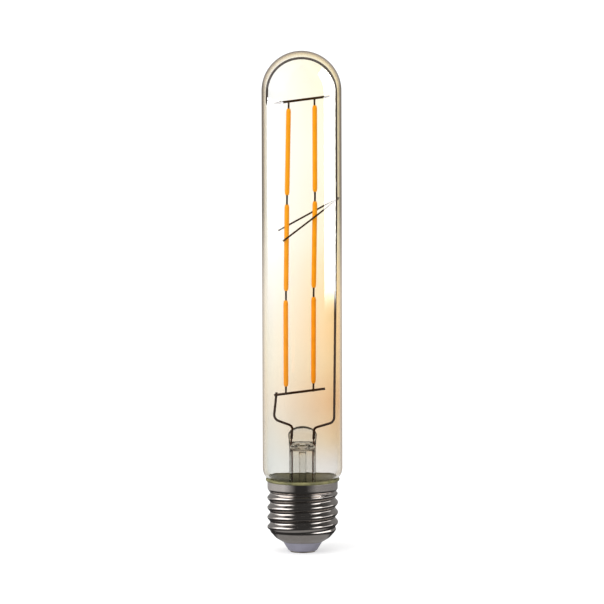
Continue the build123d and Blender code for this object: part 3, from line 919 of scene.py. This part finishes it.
def grazing(tree, place, skin_radius):
    """How far a ray grazes the glass. On a tube, inside the skin radius, it counts for less."""
    weight = tree.nodes.new("ShaderNodeLayerWeight")
    weight.inputs["Blend"].default_value = 0.5
    if not skin_radius:
        return weight.outputs["Facing"]
    over_side = math_node(tree, "SUBTRACT", place["Z"], dome_centre * MM)
    ball = math_node(tree, "MAXIMUM", over_side, 0.0)
    radius = length_of(tree, vector_of(tree, place["X"], place["Y"], ball))
    outer = math_node(tree, "GREATER_THAN", radius, skin_radius * MM)
    return math_node(tree, "MULTIPLY", weight.outputs["Facing"], ranged(tree, outer, 0, 1, inner_share, 1))


def glass_finish(name, left_stops, right_stops, edge_painted_shade_stops, ior, skin_radius=None):
    """Clear glass with a tint by height at each side, and an edge that darkens with the view, partly as
    deeper tint and partly as painted shade.
    """
    material = bpy.data.materials.new(name)
    material.use_nodes = True
    tree = material.node_tree
    nodes, link = tree.nodes, tree.links.new
    shader = nodes["Principled BSDF"]
    shader.inputs["Transmission Weight"].default_value = 1.0
    shader.inputs["Roughness"].default_value = 0.0
    shader.inputs["IOR"].default_value = ior
    place = parts_of(tree, object_place(tree))
    top = left_stops[-1][0]
    share = math_node(tree, "DIVIDE", place["Z"], top * MM)
    sides = [
        ramp_over(tree, share, [(height / top, linear(colour)) for height, colour in stops])
        for stops in (left_stops, right_stops)
    ]
    across = ranged(tree, place["X"], -tint_reach * MM, tint_reach * MM, 0, 1)
    one_wall = powered(tree, mixed_colours(tree, across, *sides), 0.5)
    # rim is the edge's deeper tint together with its painted shade.
    rim = ramp_over(tree, grazing(tree, place, skin_radius), [(s, linear(c)) for s, c in edge_painted_shade_stops])
    low, high = painted_edge_heights
    rim = powered(tree, rim, ranged(tree, place["Z"], low * MM, high * MM, *painted_edge_strengths))
    link(mixed_colours(tree, 1.0, one_wall, rim, "MULTIPLY"), shader.inputs["Base Color"])
    clear = nodes.new("ShaderNodeBsdfTransparent")
    link(powered(tree, one_wall, 0.5), clear.inputs["Color"])
    mixed = nodes.new("ShaderNodeMixShader")
    link(nodes.new("ShaderNodeLightPath").outputs["Is Shadow Ray"], mixed.inputs[0])
    link(shader.outputs[0], mixed.inputs[1])
    link(clear.outputs[0], mixed.inputs[2])
    link(mixed.outputs[0], nodes["Material Output"].inputs["Surface"])
    return material


# %% [markdown]
# Each list goes up the tube in millimetres, except the edge lists. These go from a wall that faces the eye,
# at nought, to one that is seen on edge, at one, and hold both the deeper tint and the painted shade of the
# edge. The stem is of plain clear glass, so its dark edge is painted shade alone.

# %% Glass: two materials
coat_left = [
    (0, "e0e1de"), (34, "dadbd5"), (48, "e2dbcc"), (56, "ebe0cd"), (64, "f1e7d2"), (79, "f8f1de"),
    (94, "fbf6ea"), (116, "fefdf6"), (165, "fffffc"), (182, "fffefa"), (187, "fbf4e0"),
]
coat_right = [
    (0, "dcdbd8"), (32, "d8d3cd"), (42, "d8be98"), (56, "dcb07e"), (71, "ecc994"), (82, "f6cc90"),
    (94, "f8d69a"), (108, "f8e2b2"), (116, "f8edca"), (150, "fef8dd"), (187, "fcf2cc"),
]
# Edge colours: deeper tint towards the edge, then a painted dark line of shade.
coat_edge_painted_shade = [
    (0, "ffffff"), (0.45, "ffffff"), (0.58, "f8ecd6"), (0.69, "f0d8b0"), (0.735, "c8924e"),
    (0.765, "4a2608"), (1, "140a02"),
]
stem_tint = [(0, "f4f3ef"), (50, "f6f5f0")]
# The stem's dark edge is painted shade.
stem_edge_painted_shade = [(0, "ffffff"), (0.4, "f8f7f5"), (0.6, "8a8680"), (0.72, "3a3632"), (1, "181614")]
coat_ior, stem_ior = 1.5, 1.53
between_skins = 14.35
finishes["amber_glass"] = glass_finish(
    "amber_coated_glass", coat_left, coat_right, coat_edge_painted_shade, coat_ior, between_skins
)
finishes["stem_glass"] = glass_finish("clear_stem_glass", stem_tint, stem_tint, stem_edge_painted_shade, stem_ior)
print("coat has", len(coat_left), "stops at the left and", len(coat_right), "at the right")

# %% [markdown]
# Every piece now gets its finish: new pieces by the slot that they were given, and the packed
# solids by the name of the material that the record gives them.

# %% Finishes: handing them out
for item in bpy.data.objects:
    if item.type != "MESH":
        continue
    if item.get("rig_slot"):
        item.data.materials.clear()
        item.data.materials.append(finishes[item["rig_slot"]])
    elif item.name in frame["nodes"]:
        for place in item.material_slots:
            place.material = finishes[place.material.name.split(".")[0]]

# %% [markdown]
# ## Studio
# The bulb stands on a white floor, between a low soft box at the left and a tall one at the right,
# with a soft key lamp over the camera's left and a dark room behind the camera. Glass and metal are
# mirrors, so what they show matters more than how much light falls on them. Floor and room are
# therefore white where they are seen directly or straight through glass. Mirrored rays find them
# bright at the sides and dark in front, by their bearing round the bulb: a smooth mirror, such as
# glass, one level, and rougher metal another. Anything that a matt surface finds is plain.

# %% Studio: helpers
rough_peak, through_glass = 2.8, 1.24


def stage_piece(name, points, faces):
    """A mesh that belongs to the studio and not to the bulb."""
    mesh = bpy.data.meshes.new(name)
    mesh.from_pydata(points, [], faces)
    piece = bpy.data.objects.new(name, mesh)
    bpy.context.scene.collection.objects.link(piece)
    return piece


def chosen(tree, flag, yes, no):
    """One of two numbers, or a blend of them, by a flag from nought to one."""
    node = tree.nodes.new("ShaderNodeMix")
    for socket, value in zip((node.inputs["Factor"], node.inputs[2], node.inputs[3]), (flag, no, yes)):
        feed(tree, socket, value)
    return node.outputs[0]


def by_bearing(tree, vector, stops):
    """Levels by bearing in degrees: 0 is the camera's side, and the left is negative."""
    way = parts_of(tree, vector)
    turn = math_node(tree, "ARCTAN2", way["X"], math_node(tree, "MULTIPLY", way["Y"], -1))
    around = math_node(tree, "MULTIPLY_ADD", turn, 1 / FULL_TURN, 0.5)
    return ramp_over(tree, around, [(turn / 360 + 0.5, (*[level] * 3, 1)) for turn, level in stops])


def found_level(tree, vector, in_glass, in_metal, plain, blend, blend_level, dimmed=1.0):
    """Brightness for every kind of ray. Glass finds its own levels, times dimmed. Metal finds its
    own, blended with one more level."""
    path = tree.nodes.new("ShaderNodeLightPath").outputs
    smooth = math_node(tree, "MULTIPLY", by_bearing(tree, vector, in_glass), dimmed)
    rough = math_node(tree, "MULTIPLY", by_bearing(tree, vector, in_metal), rough_peak)
    rough = chosen(tree, blend, blend_level, rough)
    mirrored = chosen(tree, path["Is Singular Ray"], smooth, rough)
    level = chosen(tree, path["Is Glossy Ray"], mirrored, plain)
    straight = math_node(tree, "LESS_THAN", path["Glossy Depth"], 0.5)
    through = math_node(tree, "MULTIPLY", path["Is Transmission Ray"], straight)
    seen = chosen(tree, path["Is Camera Ray"], 1.0, chosen(tree, through, through_glass, level))
    return chosen(tree, math_node(tree, "MINIMUM", path["Diffuse Depth"], 1.0), plain, seen)


# %% [markdown]
# The floor is a matt grey that the lamps light, plus a glow for the camera alone that lifts it to
# white, so that the bulb's shadow stays. In the cap's metal, the floor is dark right under the bulb,
# where its shadow lies, and in the glass it is dimmer far away.

# %% Studio: floor
floor_reach, floor_grey, camera_glow, floor_plain = 12, 0.62, 0.46, 0.7
metal_near, near_levels = (0.05, 0.10), (1, 0)
foot_edge, foot_levels = (0.0135, 0.017), (0.3, 0.04)
far_off, far_levels = (0.75, 1.05), (1.0, 0.5)
glass_finds = [
    (-180, 0.8), (-132, 0.8), (-115, 0.3), (-50, 0.25), (-35, 0.04), (44, 0.04), (60, 0.25), (115, 0.3),
    (132, 0.8), (180, 0.8),
]
metal_finds = [
    (-180, 0.14), (-150, 0.18), (-110, 0.22), (-62, 0.24), (-22, 0.014), (12, 0.014), (50, 0.13),
    (150, 0.10), (180, 0.14),
]
corners = [(-1, -1), (1, -1), (1, 1), (-1, 1)]
floor = stage_piece("floor", [(x * floor_reach, y * floor_reach, 0) for x, y in corners], [(0, 1, 2, 3)])
floor_paint = bpy.data.materials.new("floor_paint")
floor_paint.use_nodes = True
tree = floor_paint.node_tree
paint = tree.nodes["Principled BSDF"]
paint.inputs["Base Color"].default_value = (floor_grey, floor_grey, floor_grey, 1)
paint.inputs["Roughness"].default_value = 1.0
paint.inputs["Specular IOR Level"].default_value = 0.0
where = object_place(tree)
away = length_of(tree, where)
near = ranged(tree, away, *metal_near, *near_levels)
round_foot = ranged(tree, away, *foot_edge, *foot_levels)
dimmed = ranged(tree, away, *far_off, *far_levels)
level = found_level(tree, where, glass_finds, metal_finds, floor_plain, near, round_foot, dimmed)
path = tree.nodes.new("ShaderNodeLightPath").outputs
glow = tree.nodes.new("ShaderNodeEmission")
tree.links.new(math_node(tree, "MULTIPLY", path["Is Camera Ray"], camera_glow), glow.inputs["Strength"])
both = tree.nodes.new("ShaderNodeAddShader")
tree.links.new(paint.outputs[0], both.inputs[0])
tree.links.new(glow.outputs[0], both.inputs[1])
shown = tree.nodes.new("ShaderNodeEmission")
tree.links.new(level, shown.inputs["Strength"])
mixed = tree.nodes.new("ShaderNodeMixShader")
bounced = math_node(tree, "MAXIMUM", path["Is Glossy Ray"], path["Is Transmission Ray"])
for socket, source in zip(mixed.inputs, (bounced, both.outputs[0], shown.outputs[0])):
    tree.links.new(source, socket)
tree.links.new(mixed.outputs[0], tree.nodes["Material Output"].inputs["Surface"])
floor.data.materials.append(floor_paint)
print("floor paint:", len(tree.nodes), "nodes")

# %% [markdown]
# The soft boxes are curved panels of glowing cloth round the bulb, hidden from the camera and from
# what looks straight through glass. Mirrored, they give the pale washes down both sides of the tube
# and the lights on the thread. The cloth fades in from its lower edge, and metal finds it dim higher up.

# %% Studio: soft boxes
box_reach, box_columns = 0.6, 24
fade_power = 3.0
metal_step, metal_rest = 0.08, 0.1


def soft_box(name, start, end, low, high, soft, in_glass, in_metal, metal_top, plain):
    """A curved panel. Azimuths run from the camera's side in degrees, positive to the right."""
    azimuths = np.radians(np.linspace(start, end, box_columns + 1))
    points = [
        (box_reach * math.sin(azimuth), -box_reach * math.cos(azimuth), height)
        for height in (low, high) for azimuth in azimuths
    ]
    above = box_columns + 1
    faces = [(c, c + 1, above + c + 1, above + c) for c in range(box_columns)]
    panel = stage_piece(name, points, faces)
    panel.visible_camera = False
    panel.visible_transmission = False
    panel.visible_shadow = False
    cloth = bpy.data.materials.new(name + "_cloth")
    cloth.use_nodes = True
    cloth.cycles.emission_sampling = "NONE"
    tree = cloth.node_tree
    height = parts_of(tree, object_place(tree))["Z"]
    fade = math_node(tree, "POWER", ranged(tree, height, low, low + soft, 0, 1), fade_power)
    path = tree.nodes.new("ShaderNodeLightPath").outputs
    metal = ranged(tree, height, metal_top, metal_top + metal_step, in_metal, metal_rest)
    mirrored = chosen(tree, path["Is Singular Ray"], in_glass, metal)
    level = chosen(tree, path["Is Glossy Ray"], mirrored, plain)
    glow = tree.nodes.new("ShaderNodeEmission")
    tree.links.new(math_node(tree, "MULTIPLY", level, fade), glow.inputs["Strength"])
    tree.links.new(glow.outputs[0], tree.nodes["Material Output"].inputs["Surface"])
    panel.data.materials.append(cloth)
    print(name, "from", start, "to", end, "degrees, up to", high, "m")


soft_box(
    "soft_box_left", start=-116, end=-54, low=-0.01, high=0.108, soft=0.09,
    in_glass=17.0, in_metal=2.6, metal_top=0.2, plain=1.2,
)
soft_box(
    "soft_box_right", start=67, end=114, low=0.011, high=0.80, soft=0.012,
    in_glass=13.0, in_metal=2.2, metal_top=0.12, plain=1.0,
)

# %% [markdown]
# The key lamp is a wide soft sun. It is hidden from mirrors, so it lights the rods and wires
# through the glass without a hard spot on the wall.

# %% Studio: key lamp
key_energy, key_softness = 1.9, 70
key_from = Vector((-0.45, -0.7, 0.75))
key_data = bpy.data.lights.new("key", "SUN")
key_data.energy = key_energy
key_data.angle = math.radians(key_softness)
key = bpy.data.objects.new("key", key_data)
bpy.context.scene.collection.objects.link(key)
key.rotation_euler = key_from.to_track_quat("Z", "Y").to_euler()
key.visible_glossy = False
key.visible_transmission = False
print("key lamp:", key_energy, "from", tuple(round(part, 2) for part in key_from))

# %% [markdown]
# The room is the world. It is white to the camera and through the glass, and metal finds it dark
# overhead, where there is no lamp.

# %% Studio: room
room_plain, ceiling_level = 0.8, 0.05
ceiling_starts = (0.5, 0.8)
room_in_glass = [
    (-180, 0.6), (-122, 0.6), (-112, 0.6), (-50, 0.6), (-35, 0.04), (44, 0.04), (60, 0.5), (112, 0.5),
    (122, 0.6), (180, 0.6),
]
room_in_metal = [
    (-180, 0.1), (-125, 0.1), (-112, 0.3), (-96, 1.0), (-55, 1.0), (-34, 0.02), (28, 0.02), (50, 0.9),
    (80, 1.0), (100, 0.5), (118, 0.08), (180, 0.1),
]
world = bpy.data.worlds.new("studio")
bpy.context.scene.world = world
world.use_nodes = True
world.cycles.sampling_method = "NONE"
tree = world.node_tree
where = tree.nodes.new("ShaderNodeTexCoord").outputs["Generated"]
overhead = ranged(tree, parts_of(tree, where)["Z"], *ceiling_starts, 0, 1)
level = found_level(tree, where, room_in_glass, room_in_metal, room_plain, overhead, ceiling_level)
tree.links.new(level, tree.nodes["Background"].inputs["Strength"])
tree.nodes["Background"].inputs["Color"].default_value = (1, 1, 1, 1)
bpy.context.scene.view_settings.view_transform = "Standard"
print("room:", len(tree.nodes), "nodes")
